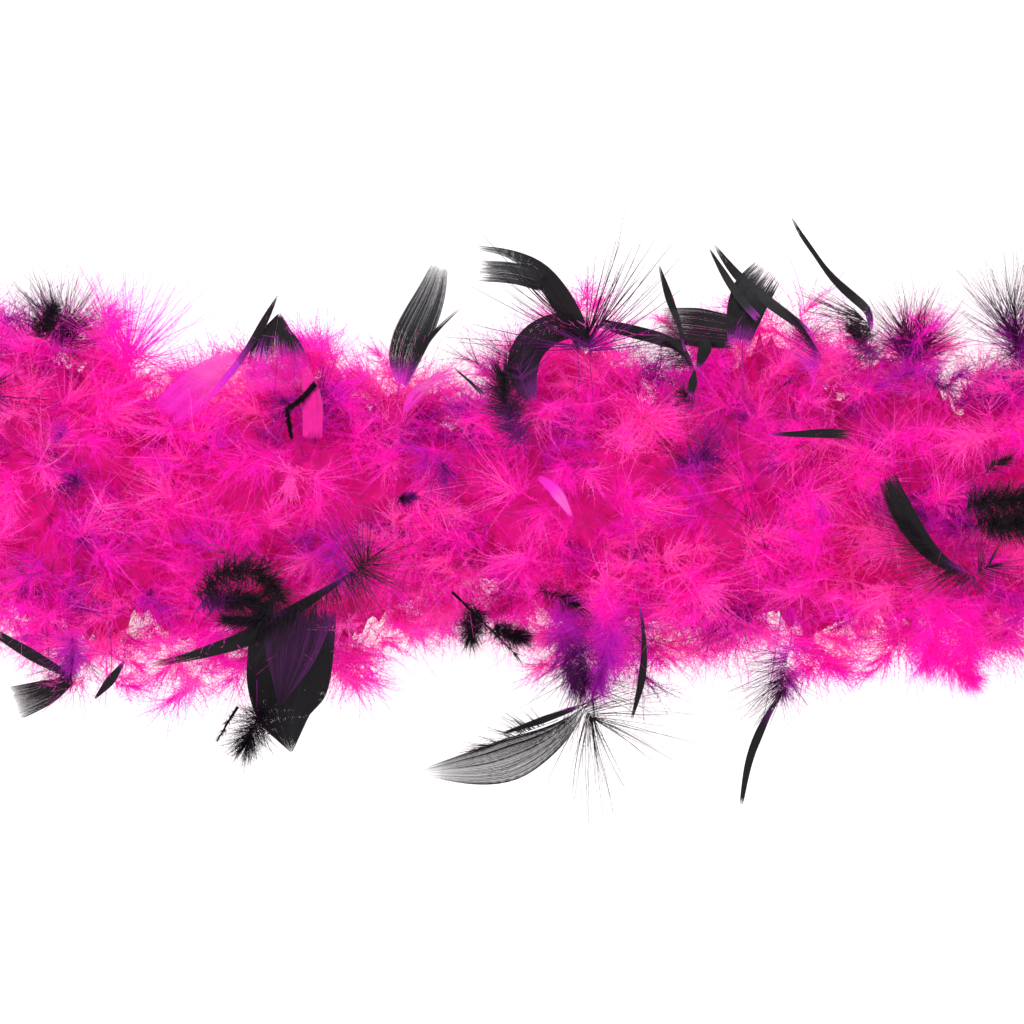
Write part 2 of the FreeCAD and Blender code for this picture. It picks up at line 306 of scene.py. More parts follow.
class Fibres:
    """Ribbons and hairs gathered into one mesh. A ribbon has points, widths and tints."""

    def __init__(self):
        self.points, self.tints, self.quads, self.hairs, self.count = [], [], [], [], 0

    def keep(self, points, tints):
        """Stores points and their tints, and gives the points' numbers."""
        index = np.arange(tints.size).reshape(tints.shape) + self.count
        self.points.append(points.reshape(-1, 3))
        self.tints.append(tints.ravel())
        self.count += tints.size
        return index

    def ribbons(self, lines, widths, tints, facing):
        """lines is (n, k, 3), widths and tints (n, k), facing (n, 1, 3) or (n, k, 3)."""
        lines = lines.copy()
        lifted = LOWEST * (1 + 3 * rng.random(lines.shape[:2]))
        lines[..., 2] = np.maximum(lines[..., 2], lifted)
        half = unit(np.cross(np.gradient(lines, axis=1), facing)) * widths[..., None] / 2
        both = np.stack([lines - half, lines + half], axis=2)
        both[..., 2] = np.maximum(both[..., 2], LOWEST / 2)
        tints = np.broadcast_to(tints, lines.shape[:2])
        index = self.keep(both, np.stack([tints, tints], axis=2))
        corners = [index[:, :-1, 0], index[:, :-1, 1], index[:, 1:, 1], index[:, 1:, 0]]
        self.quads.append(np.stack(corners, -1).reshape(-1, 4))
        return lines

    def fine_hairs(self, roots, tips, widths, tints):
        """Straight hairs, a thin triangle each."""
        half = unit(np.cross(tips - roots, random_directions(len(roots)))) * widths / 2
        corners = np.stack([roots - half, roots + half, tips], axis=1)
        corners[..., 2] = np.maximum(corners[..., 2], LOWEST / 2)
        index = self.keep(corners, np.repeat(tints[:, None], 3, axis=1))
        self.hairs.append(index)

    def make(self, name, material, nodes):
        """The mesh object, riding on the frame and standing for those CAD nodes."""
        points = np.concatenate(self.points).astype(np.float32)
        quads = np.concatenate([np.empty((0, 4)), *self.quads]).astype(np.int32)
        hairs = np.concatenate([np.empty((0, 3)), *self.hairs]).astype(np.int32)
        mesh = bpy.data.meshes.new(name)
        mesh.vertices.add(len(points))
        mesh.vertices.foreach_set("co", points.ravel())
        mesh.loops.add(quads.size + hairs.size)
        mesh.loops.foreach_set("vertex_index", np.concatenate([quads.ravel(), hairs.ravel()]))
        starts = np.concatenate(
            [np.arange(len(quads)) * 4, quads.size + np.arange(len(hairs)) * 3]
        )
        mesh.polygons.add(len(starts))
        mesh.polygons.foreach_set("loop_start", starts.astype(np.int32))
        mesh.update(calc_edges=True)
        tint = mesh.attributes.new("tint", "FLOAT", "POINT")
        tint.data.foreach_set("value", np.concatenate(self.tints).astype(np.float32))
        mesh.shade_smooth()
        mesh.materials.append(material)
        piece = new_object(name, mesh)
        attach(piece, "root")
        if nodes:
            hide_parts(*nodes)
        return piece


def spine_points(root, bend, tip, count=24):
    """Points on a parabola from root to tip that passes through bend halfway."""
    share = np.linspace(0, 1, count)[:, None]
    control = 2 * bend - (root + tip) / 2
    return (1 - share) ** 2 * root + 2 * share * (1 - share) * control + share**2 * tip


def at_shares(line, shares):
    """Points and headings on a line at shares of its length."""
    steps = np.linalg.norm(np.diff(line, axis=0), axis=1)
    reach = np.concatenate([[0], np.cumsum(steps)])
    reach /= reach[-1]
    ahead = read_off(shares, reach, np.gradient(line, axis=0))
    return read_off(shares, reach, line), unit(ahead)


def smooth(low, high, value):
    share = np.clip((value - low) / (high - low), 0, 1)
    return share * share * (3 - 2 * share)


def shaft(fibres, line, thickness, tints):
    """A quill: two ribbons across each other, tapering to the tip."""
    widths = thickness * np.linspace(1, 0.25, len(line))[None]
    for facing in ((0, 0, 1.0), (0.7, 0.7, 0.1)):
        fibres.ribbons(line[None], widths, tints[None], np.array(facing)[None, None])


def fuzz(fibres, lines, tints, number, longest, width, until):
    """Barbules on both sides of each barb, up to a share of its length."""
    barbs, points = lines.shape[:2]
    which = np.repeat(np.arange(barbs), number)
    share = (np.tile(np.arange(number), barbs) + rng.random(len(which))) / number * until
    place = (0.02 + 0.98 * share) * (points - 1)
    low = np.minimum(place.astype(int), points - 2)
    part = (place - low)[:, None]
    start, end = lines[which, low], lines[which, low + 1]
    roots = start * (1 - part) + end * part
    ahead = unit(end - start)
    flat = random_directions(barbs)[which]
    side = unit(np.cross(ahead, flat)) * np.where(rng.random(len(which)) < 0.5, -1, 1)[:, None]
    heading = unit(ahead * 0.55 + side * 0.8 + rng.normal(size=roots.shape) * 0.22)
    length = longest * MM * (1 - 0.55 * share) * (0.5 + 0.8 * rng.random(len(which)))
    tips = roots + heading * length[:, None]
    fibres.fine_hairs(roots, tips, width * MM, tints[which, low])


def plume(
    fibres,
    line,
    barbs,
    reach,
    tint_from,
    tint_to,
    spread=60,
    flat=0.5,
    normal=(0, 0, 1),
    first=0.15,
    fine=0.16,
    segments=5,
    curl=0.3,
    barbules=20,
    barbule=1.6,
    fuzz_until=0.8,
    shaft_width=0.45,
    side=0,
    motley=0.02,
):
    """A down feather: soft barbs that leave its shaft, with a fuzz of barbules on them.

    reach is the longest barb, fine a barb's width and barbule the longest barbule, all in
    millimetres. spread is the angle of the lowest barbs in degrees, and flat how near the
    barbs stay to the feather's plane. side 1 or -1 keeps only the barbs on that side, and
    motley is how far the barbs' tints differ.
    """
    place = np.sort(rng.random(barbs) ** 0.8)
    spots, ahead = at_shares(line, first + (1 - first) * place)
    normal = np.asarray(normal, float)
    across = unit(np.cross(normal, ahead))
    sign = np.where(rng.random(barbs) < 0.5 + side, 1.0, -1.0)[:, None]
    out = unit(across * sign + rng.normal(size=(barbs, 3)) * (1 - flat))
    turn = np.radians(spread) * (1 - 0.8 * place**1.5) * (0.7 + 0.6 * rng.random(barbs))
    heading = unit(ahead * np.cos(turn)[:, None] + out * np.sin(turn)[:, None])
    length = reach * MM * (0.55 + 0.45 * np.sin(math.pi * (0.1 + 0.75 * place)))
    length = (length * (0.6 + 0.45 * rng.random(barbs)))[:, None, None]
    steps = np.linspace(0, 1, segments + 1)[None, :, None]
    bend = (ahead * 0.2 + rng.normal(size=(barbs, 3)) * curl)[:, None]
    wave_side = random_directions(barbs)[:, None]
    phase = rng.random((barbs, 1, 1)) * 6.28
    wave = wave_side * np.sin(phase + steps * (4 + 5 * rng.random((barbs, 1, 1))))
    lines = spots[:, None] + length * (
        heading[:, None] * steps + bend * steps**2 * 0.6 + wave * steps * curl * 0.15
    )
    widths = fine * MM * (1 - 0.75 * steps[..., 0]) * (0.7 + 0.6 * rng.random((barbs, 1)))
    start = (tint_from + (tint_to - tint_from) * smooth(0.1, 0.8, place))[:, None]
    end = np.clip(
        start + 0.6 * (tint_to - tint_from), min(tint_to, tint_from), max(tint_to, tint_from)
    )
    tints = start + (end - start) * steps[..., 0] + rng.normal(size=(barbs, 1)) * motley
    facing = random_directions(barbs)[:, None] + normal * 0.8
    lines = fibres.ribbons(lines, widths, tints, facing)
    if shaft_width:
        shaft_tints = np.interp(
            np.linspace(0, 1, len(line)), (0.2, 0.8), (tint_from, tint_to)
        )
        shaft(fibres, line, shaft_width * MM, shaft_tints)
    if barbules:
        fuzz(fibres, lines, tints, barbules, barbule, min(fine * 0.9, 0.28), fuzz_until)


def tuft(
    fibres, root, tip, plumes, scatter=0.3, barbs=95, out=(0, 0, 1), shafts=(0.15, 0.45), **looks
):
    """Down feathers from about one root that spread round the way to tip.

    shafts is how long the shafts are, as shares of the way.
    """
    chord = tip - root
    span = np.linalg.norm(chord)
    for _ in range(plumes):
        aside = rng.normal(size=3) * (1, 1, 0.4) * scatter
        heading = unit(chord / span + aside)
        start = root + rng.normal(size=3) * 2.5 * MM + chord * rng.uniform(0, 0.15)
        end = start + heading * span * rng.uniform(*shafts)
        start[2], end[2] = max(start[2], 5 * MM), max(end[2], 5 * MM)
        bend = (start + end) / 2 + rng.normal(size=3) * span * 0.06
        plume(fibres, spine_points(start, bend, end, 10), barbs, normal=out, **looks)


def rounded(points):
    """The points of a line again, with its corners cut twice."""
    for _ in range(2):
        low = points[:-1] * 0.75 + points[1:] * 0.25
        high = points[:-1] * 0.25 + points[1:] * 0.75
        between = np.stack([low, high], axis=1).reshape(-1, points.shape[1])
        points = np.concatenate([points[:1], between[1:-1], points[-1:]])
    return points


def paddle(
    fibres,
    points,
    widths,
    # The end of the vane is lighter than black: partly its own charcoal end, partly painted sheen.
    tints=((0.0, PINK), (0.22, PURPLE), (0.4, BLACK), (1.0, BLACK + 0.08)),
    cover=((0.0, 0.9), (0.25, 1.4), (0.6, 2.0), (1.0, 1.5)),
    normal=(0, 0, 1),
    fray=0.05,
    gaps=0.06,
    edge=0.0,
    twist=0.0,
    cup=0.12,
    strand=0.13,
    stations=20,
    ragged=0.03,
):
    """A flat vane: close barbs that run side by side from its base to its cut end.

    points (k, 3) are its middle line from base to end, and widths its k widths in
    millimetres. tints and cover are pairs of place and value along it: cover is how much of
    the gap to the next barb a barb fills. edge darkens both edges, and twist turns the end.
    ragged is how far along the vane the change of tint differs from barb to barb.
    """
    points = rounded(np.asarray(points, float))
    shares = np.linspace(0, 1, stations)
    spots, ahead = at_shares(points, shares)
    widths = np.interp(shares, np.linspace(0, 1, len(widths)), widths) * MM
    for _ in range(3):
        widths[1:-1] = (widths[:-2] + 2 * widths[1:-1] + widths[2:]) / 4
    normal = unit(np.asarray(normal, float))
    across = unit(np.cross(normal, ahead))
    angle = (twist * shares**1.5)[:, None]
    across, up = (
        across * np.cos(angle) + normal * np.sin(angle),
        normal * np.cos(angle) - across * np.sin(angle),
    )
    number = max(5, int(widths.max() / (strand * MM)))
    place = np.linspace(-1, 1, number)[:, None]
    begin = 0.12 * rng.random((number, 1)) ** 2
    until = 1 - fray * rng.random((number, 1)) ** 2
    along = begin + shares[None] * (until - begin)
    middle_spots = read_off(along, shares, spots)
    sideways = read_off(along, shares, across)
    upward = read_off(along, shares, up)
    wide = np.interp(along, shares, widths)
    ripple = 0.03 * np.sin(place * 7 + along * 5) + 0.008 * rng.normal(size=(number, 1))
    lift = wide * (ripple - cup * place**2)
    wander = place + rng.normal(size=(number, 1)) * 0.35 / number
    lines = middle_spots + sideways * (wide * wander / 2)[..., None]
    lines = lines + upward * lift[..., None]
    covered = np.interp(along, *np.array(cover).T)
    streaks = 1 + gaps * np.interp(place, np.linspace(-1, 1, 16), rng.normal(size=16))
    streaks = np.clip(streaks + rng.normal(size=(number, 1)) * gaps * 0.5, 0.2, 2)
    at_edge = np.clip((np.abs(place) - 0.86) / 0.14, 0, 1)
    covered = covered * (streaks + (1.3 - streaks) * at_edge * (edge > 0))
    strand_widths = np.maximum(wide / number * covered, 0.03 * MM)
    strand_widths = strand_widths * (1 - 0.6 * (along / until) ** 12)
    strand_widths = strand_widths * smooth(-0.06, 0.12, along)
    shifted = along + ragged * rng.normal(size=(number, 1))
    tint = np.interp(shifted, *np.array(tints).T)
    tint = tint + rng.normal(size=(number, 1)) * 0.008 + (1 - streaks) * 0.03
    tint = tint + (BLACK - tint) * edge * at_edge * smooth(0.15, 0.4, along)
    fibres.ribbons(lines, strand_widths, tint, upward)


# ------------------------------------------------------------------ the body of down

# How far the dense down reaches sideways from the cord along the straight stretch, in
# millimetres: place along X, then reach on the far side and on the near side.
OUTLINE = (
    (-290, 60, 50), (-225, 66, 46), (-199, 66, 58), (-177, 62, 60),
    (-159, 32, 62), (-140, 35, 62), (-124, 41, 62), (-112, 49, 62),
    (-98, 50, 62), (-75, 48, 60), (-52, 42, 48), (-34, 31, 42),
    (-18, 30, 38), (-5, 46, 40), (14, 60, 52), (36, 60, 66),
    (63, 42, 54), (78, 54, 46), (92, 64, 52), (126, 62, 57),
    (144, 42, 55), (160, 58, 56), (180, 58, 56), (196, 36, 56),
    (212, 40, 52), (240, 56, 52), (300, 60, 60),
)
outline = np.array(OUTLINE, float) * MM * (1, 1.17, 1.14)
UPWARD_REACH = 0.05
COIL_REACH = 0.058
COIL_BLEND_START, COIL_BLEND_END = 0.16, 0.08  # before the coil, where its reach takes over
BARE_END = 0.022  # cord beyond the down at each end of the boa
END_TAPER = 0.04
STRAIGHT_LENGTH = COIL_START - LEFT_KNOT.x


def sideways_reach(places, far_side):
    """How far the down reaches sideways at places along X, on the far or the near side."""
    far, near = (np.interp(places, outline[:, 0], outline[:, side]) for side in (1, 2))
    return np.where(far_side, far, near)


def down_reach(distances, angles, places):
    """How far the down reaches from the cord, by its direction round the cord."""
    away = sideways_reach(places, np.cos(angles) > 0)
    before_coil = STRAIGHT_LENGTH - distances
    blend = 1 - smooth(COIL_BLEND_END, COIL_BLEND_START, before_coil)
    away = away + (COIL_REACH - away) * blend
    from_end = np.minimum(distances, LAID_LENGTH - distances) - BARE_END
    taper = np.sqrt(np.clip(from_end / END_TAPER, 0.03, 1))
    return taper / np.hypot(np.cos(angles) / away, np.sin(angles) / UPWARD_REACH)


WAVES = 16
SHORTEST_WAVE = 30 * MM
MOST_TURNS = 9
wave_numbers = rng.uniform(-1, 1, WAVES) * 2 * math.pi / SHORTEST_WAVE
wave_turns = rng.integers(-MOST_TURNS, MOST_TURNS + 1, WAVES)
wave_starts = rng.uniform(0, 2 * math.pi, WAVES)


def lumps(distances, angles):
    """Rises and hollows of the down, from about -1 to 1, the same on every clump."""
    phases = (
        np.multiply.outer(distances, wave_numbers)
        + np.multiply.outer(angles, wave_turns)
        + wave_starts
    )
    return np.sin(phases).sum(-1) / math.sqrt(WAVES)


# Shares of the down's reach where it gets too dense to see into, upwards and sideways.
PACKED_SHARE, PACKED_SIDE_SHARE = 0.5, 0.8
LUMP_HEIGHT = 0.07  # of the down's reach
ROUGHNESS = 0.05  # of the packed down's reach, so that it has no smooth edge
# Painted shade: the packed down's crimson goes darker at random, by up to SHADE.
SHADE = 0.04  # how far its tint goes from crimson towards grey


def packed_reach(distances, angles, places):
    reach = down_reach(distances, angles, places)
    share = PACKED_SHARE + (PACKED_SIDE_SHARE - PACKED_SHARE) * np.cos(angles) ** 2
    return reach * (share + LUMP_HEIGHT * lumps(distances, angles))


def packed_down(fibres, begin, end, columns=72, row=2.5 * MM):
    """The dense down inside, tinted crimson as painted shade for the hollows between the feathers.
    """
    places = np.linspace(begin, end, int((end - begin) / row) + 2)
    spots, _, across, upward = along_cord(places)
    angles = np.linspace(0, 2 * math.pi, columns + 1)
    ring = across[:, None] * np.cos(angles)[None, :, None]
    ring = ring + upward[:, None] * np.sin(angles)[None, :, None]
    grid = (places[:, None] + 0 * angles, 0 * places[:, None] + angles)
    radii = packed_reach(*grid, spots[:, None, 0] + 0 * angles)
    radii *= 1 + ROUGHNESS * rng.normal(size=radii.shape)
    surface = spots[:, None] + ring * radii[..., None]
    surface[..., 2] = np.maximum(surface[..., 2], LOWEST)
    # Painted shade: crimson, a little darker at random.
    index = fibres.keep(surface, CRIMSON - SHADE * rng.random(grid[0].shape))
    quads = np.stack(
        [index[:-1, :-1], index[1:, :-1], index[1:, 1:], index[:-1, 1:]], axis=-1
    )
    fibres.quads.append(quads.reshape(-1, 4))


TUFT = 3  # neighbouring feathers that lean the same way
GOLDEN = (math.sqrt(5) - 1) / 2  # steps of this share of a turn spread the tufts evenly


def body_down(
    fibres, begin, end, feathers, fine, longest=25, widest=112, dark=0.09, darkest=0.55, **looks
):
    """Down feathers over the dense down, between two distances along it, in small tufts.

    longest is their longest barb in millimetres, and widest how far round from the top
    they go, in degrees. dark is the share of tufts with dark tips, and darkest their tint.
    """
    tufts = math.ceil(feathers / TUFT)
    number = tufts * TUFT
    order = np.arange(tufts)
    distances = np.repeat(begin + (end - begin) * (order + 0.5) / tufts, TUFT)
    places = 2 * ((rng.random() + order * GOLDEN) % 1) - 1
    sideways = widest * np.sign(places) * np.abs(places) ** 0.6
    angles = np.radians(np.repeat(90 + sideways, TUFT))
    turns = np.repeat(rng.uniform(0, 2 * math.pi, tufts), TUFT)
    hues = np.repeat(rng.normal(size=tufts) * 0.045, TUFT)
    darkness = np.repeat(rng.random(tufts), TUFT)
    distances = np.clip(distances + rng.normal(size=number) * 5 * MM, begin, end)
    angles += rng.normal(size=number) * 0.1
    turns += rng.normal(size=number) * 0.5
    spots, ahead, across, upward = along_cord(distances)
    cosines, sines = np.cos(angles)[:, None], np.sin(angles)[:, None]
    radial = across * cosines + upward * sines
    around = upward * cosines - across * sines
    places = (distances, angles, spots[:, 0])
    layer = rng.uniform(-0.08, 1, number) * (0.26 - 0.1 * np.cos(angles) ** 2)
    layer = layer + 0.06 * lumps(distances, angles)
    roots = spots + radial * (packed_reach(*places) + layer * down_reach(*places))[:, None]
    lean = ahead * np.cos(turns)[:, None] + around * np.sin(turns)[:, None]
    rise = rng.uniform(0.3, 1.1, (number, 1)) * (0.7 + 0.6 * cosines**2)
    headings = unit(radial * rise + lean)
    for root, heading, out, hue, chance in zip(roots, headings, radial, hues, darkness):
        span = rng.uniform(9, 17) * MM
        tip = root + heading * span
        tip[2] = max(tip[2], 4 * MM)
        bend = (root + tip) / 2 + out * span * 0.15
        base = PINK + hue
        # Tips lean at random towards pale pink: partly the barbs' own paler tips, partly painted
        # highlight.
        end_tint = base + rng.uniform(-0.15, 0.05)
        if chance < dark:
            end_tint = rng.uniform(VIOLET, darkest)
        plume(
            fibres,
            spine_points(root, bend, tip, 8),
            reach=rng.uniform(0.5, 1) * longest,
            tint_from=base,
            tint_to=end_tint,
            spread=75,
            flat=0.45,
            normal=out,
            fine=fine,
            curl=0.48,
            shaft_width=0.3,
            motley=0.04,
            **looks,
        )


def tipped_feathers(fibres, begin, end, number):
    """Flat feathers with black tips that stand out of the down between two distances."""
    distances = rng.uniform(begin, end, number)
    angles = rng.uniform(0, math.pi, number)
    spots, ahead, across, upward = along_cord(distances)
    radial = across * np.cos(angles)[:, None] + upward * np.sin(angles)[:, None]
    headings = unit(radial + ahead * rng.uniform(-1, 1, (number, 1)))
    reaches = down_reach(distances, angles, spots[:, 0])
    for spot, out, heading, reach in zip(spots, radial, headings, reaches):
        start = spot + out * reach * 0.4
        tip = spot + heading * (reach + rng.uniform(4, 22) * MM)
        tip[2] = max(tip[2], 8 * MM)
        bend = (start + tip) / 2 + rng.normal(size=3) * 5 * MM
        width = rng.uniform(4, 15)
        widths = (1, width, width * 1.2, width * rng.uniform(0.2, 0.8))
        normal = np.cross(heading, rng.normal(size=3))
        line = spine_points(start, bend, tip, 6)
        paddle(fibres, line, widths, normal=normal, strand=0.3, stations=12)


clump_names = sorted(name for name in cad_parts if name.startswith("down_clump"))
straight_clumps = [name for name in clump_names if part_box(name)[1].x < 0.3]
clump_ranges = {}
for name in straight_clumps:
    low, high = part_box(name)
    clump_ranges[name] = (low.x - LEFT_KNOT.x, high.x - LEFT_KNOT.x)
coil_clumps = [name for name in clump_names if name not in straight_clumps]
coil_from = clump_ranges[straight_clumps[-1]][1]
coil_pitch = (LAID_LENGTH - BARE_END - coil_from) / len(coil_clumps)
for index, name in enumerate(coil_clumps):
    begin = coil_from + index * coil_pitch
    clump_ranges[name] = (begin, begin + coil_pitch)

SEEN = {"barbs": 46, "barbules": 12, "barbule": 3, "segments": 4, "fine": 0.32}
FRINGE = {"barbs": 20, "barbules": 8, "barbule": 1.6, "segments": 6, "fine": 0.24}
DARK_TIPS = {"longest": 33, "dark": 0.5, "darkest": GREY}
FRINGE_PER_METRE = 500
UNSEEN = {"barbs": 36, "barbules": 5, "barbule": 3.4, "segments": 3, "fine": 0.75}
SEEN_PER_METRE, UNSEEN_PER_METRE = 2250, 1150
TIPPED_PER_METRE = 75
OVERLAP = 1 * MM
for name, (begin, end) in clump_ranges.items():
    seen = name in straight_clumps
    fibres = Fibres()
    packed_down(fibres, begin - OVERLAP, end + OVERLAP)
    long = end - begin
    if seen:
        body_down(fibres, begin, end, int(long * SEEN_PER_METRE), **SEEN)
        body_down(fibres, begin, end, int(long * FRINGE_PER_METRE), **FRINGE, **DARK_TIPS)
    else:
        feathers = int(long * UNSEEN_PER_METRE)
        body_down(fibres, begin, end, feathers, longest=30, widest=150, **UNSEEN)
        tipped_feathers(fibres, begin, end, int(long * TIPPED_PER_METRE))
    fibres.make(name + "_feathers", down_material, [name])

# ------------------------------------------------------------------ feathers of their own


def cad_spine(node):
    """Root, halfway point, tip and upward normal of a CAD feather, from its own mesh."""
    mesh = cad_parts[node].data
    points = np.array([vertex.co for vertex in mesh.vertices], float)
    edges = np.array([edge.vertices for edge in mesh.edges], int)
    nearest = np.abs(cord_line[None] - points[:, None]).sum(-1).min(1)
    root = points[nearest < nearest.min() + 0.4 * MM].mean(0)
    tip = points[np.argmax(np.linalg.norm(points - root, axis=1))]
    chord = unit(tip - root)
    halfway = np.dot((root + tip) / 2, chord)
    heights = points @ chord - halfway
    first, last = heights[edges[:, 0]], heights[edges[:, 1]]
    crossing = (first < 0) != (last < 0)
    share = (first[crossing] / (first[crossing] - last[crossing]))[:, None]
    ends = points[edges[crossing]]
    bend = (ends[:, 0] * (1 - share) + ends[:, 1] * share).mean(0)
    centred = points - points.mean(0)
    normal = np.linalg.svd(centred, full_matrices=False)[2][2]
    return root, bend, tip, normal * (1 if normal[2] > 0 else -1)


EDGE = 1.15  # of the down's reach, past which its surface falls no further
TOP_SHARE, EDGE_DROP = 0.95, 0.6


def above_down(x, y):
    """The height of the down's surface over a place beside the straight stretch."""
    level = np.clip(np.abs(y) / (sideways_reach(x, y > 0) * EDGE), 0, EDGE)
    return CORD_HEIGHT + TOP_SHARE * UPWARD_REACH * (1 - EDGE_DROP * level**2)


def placed(points, over, line, level=0):
    """Points given as x and y in millimetres, laid on the down, or raised with a CAD feather.

    over is how far above the down they lie, and level how many vanes of the same feather
    they lie on.
    """
    flat = np.array(points, float) * MM
    nearest = np.linalg.norm(line[None, :, :2] - flat[:, None], axis=-1).argmin(1)
    surface = above_down(*flat.T) + over * MM
    raised = RAISED * np.maximum(line[nearest, 2] - surface, 0)
    heights = surface + raised + level * VANE_STEP
    return np.column_stack([flat, heights])


# Tints that rise from BLACK towards GREY along a vane are partly the feathers' own charcoal ends,
# partly painted sheen.
CHARCOAL = {
    "tints": ((0.0, PINK), (0.14, VIOLET), (0.32, BLACK), (0.6, BLACK + 0.08), (1.0, GREY)),
    "cover": ((0.0, 0.7), (0.25, 1.1), (0.5, 1.4), (1.0, 1.0)),
    "gaps": 0.09,
}
BLACKENED = ((0.0, BLACK), (0.5, BLACK), (1.0, BLACK + 0.1))
SOLID = {
    "tints": ((0.0, VIOLET), (0.1, PURPLE), (0.22, BLACK), (1.0, BLACK + 0.02)),
    "cover": ((0.0, 1.8), (1.0, 1.9)),
    "gaps": 0.08,
}
GREY_VANE = {
    "tints": ((0.0, VIOLET), (0.12, PURPLE), (0.3, BLACK), (1.0, BLACK + 0.13)),
    "cover": ((0.0, 1.4), (0.5, 1.3), (1.0, 0.9)),
    "fray": 0.16,
    "edge": 0.8,
}
PINK_VANE = {
    "tints": ((0.0, PINK), (0.35, PINK - 0.03), (0.7, PALE), (0.9, PALE), (1.0, VIOLET)),
    "cover": ((0.0, 1.4), (0.6, 1.2), (1.0, 0.9)),
    "gaps": 0.25,
}
WISPS = dict(
    fine=0.3, curl=0.12, flat=0.85, barbules=7, fuzz_until=0.35, shaft_width=0.3, segments=7
)
DOWNY = dict(
    fine=0.22, segments=4, flat=0.5, curl=0.3, barbules=14, fuzz_until=0.8, spread=85, first=0.0
)
